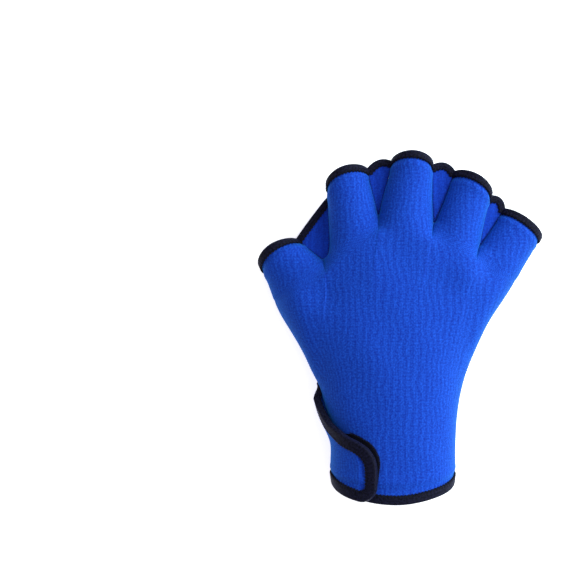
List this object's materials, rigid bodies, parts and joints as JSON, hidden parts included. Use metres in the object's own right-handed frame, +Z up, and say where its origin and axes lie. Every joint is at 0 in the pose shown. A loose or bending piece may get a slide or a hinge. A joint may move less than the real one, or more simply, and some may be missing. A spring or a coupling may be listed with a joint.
{
  "type": "webbed swim glove",
  "caption": "Open-finger swim glove with recessed webs between short bound finger stalls and a wrist tab that closes over the back of the cuff.",
  "frame": {"origin": "on the surface that the glove lies on, below the centre of its bounding box", "axes": "+Y from the cuff to the finger tips, +X from the thumb side to the little finger side, +Z up out of the back of the hand"},
  "size_m": [0.1664, 0.2038, 0.0485],
  "materials": {
    "cloth_blue": "knit-faced royal blue neoprene, matt with a soft sheen",
    "web_blue": "thin knit-faced royal blue neoprene in the shade of the stalls",
    "binding_tape": "dark navy folded stretch binding with a faint sheen",
    "hook_loop": "black hook and loop fabric"
  },
  "bodies": {
    "root": {"back_panel": "cloth_blue", "palm_panel": "cloth_blue", "web_thumb_index": "web_blue", "web_tape_thumb_index": "binding_tape", "web_index_middle": "web_blue", "web_tape_index_middle": "binding_tape", "web_middle_ring": "web_blue", "web_tape_middle_ring": "binding_tape", "web_ring_little": "web_blue", "web_tape_ring_little": "binding_tape", "rim_tape_thumb": "binding_tape", "rim_tape_index": "binding_tape", "rim_tape_middle": "binding_tape", "rim_tape_ring": "binding_tape", "rim_tape_little": "binding_tape", "cuff_tape": "binding_tape", "closure_tab": "cloth_blue", "tab_tape": "binding_tape", "loop_patch": "hook_loop", "hook_patch": "hook_loop"}
  },
  "joints": []
}
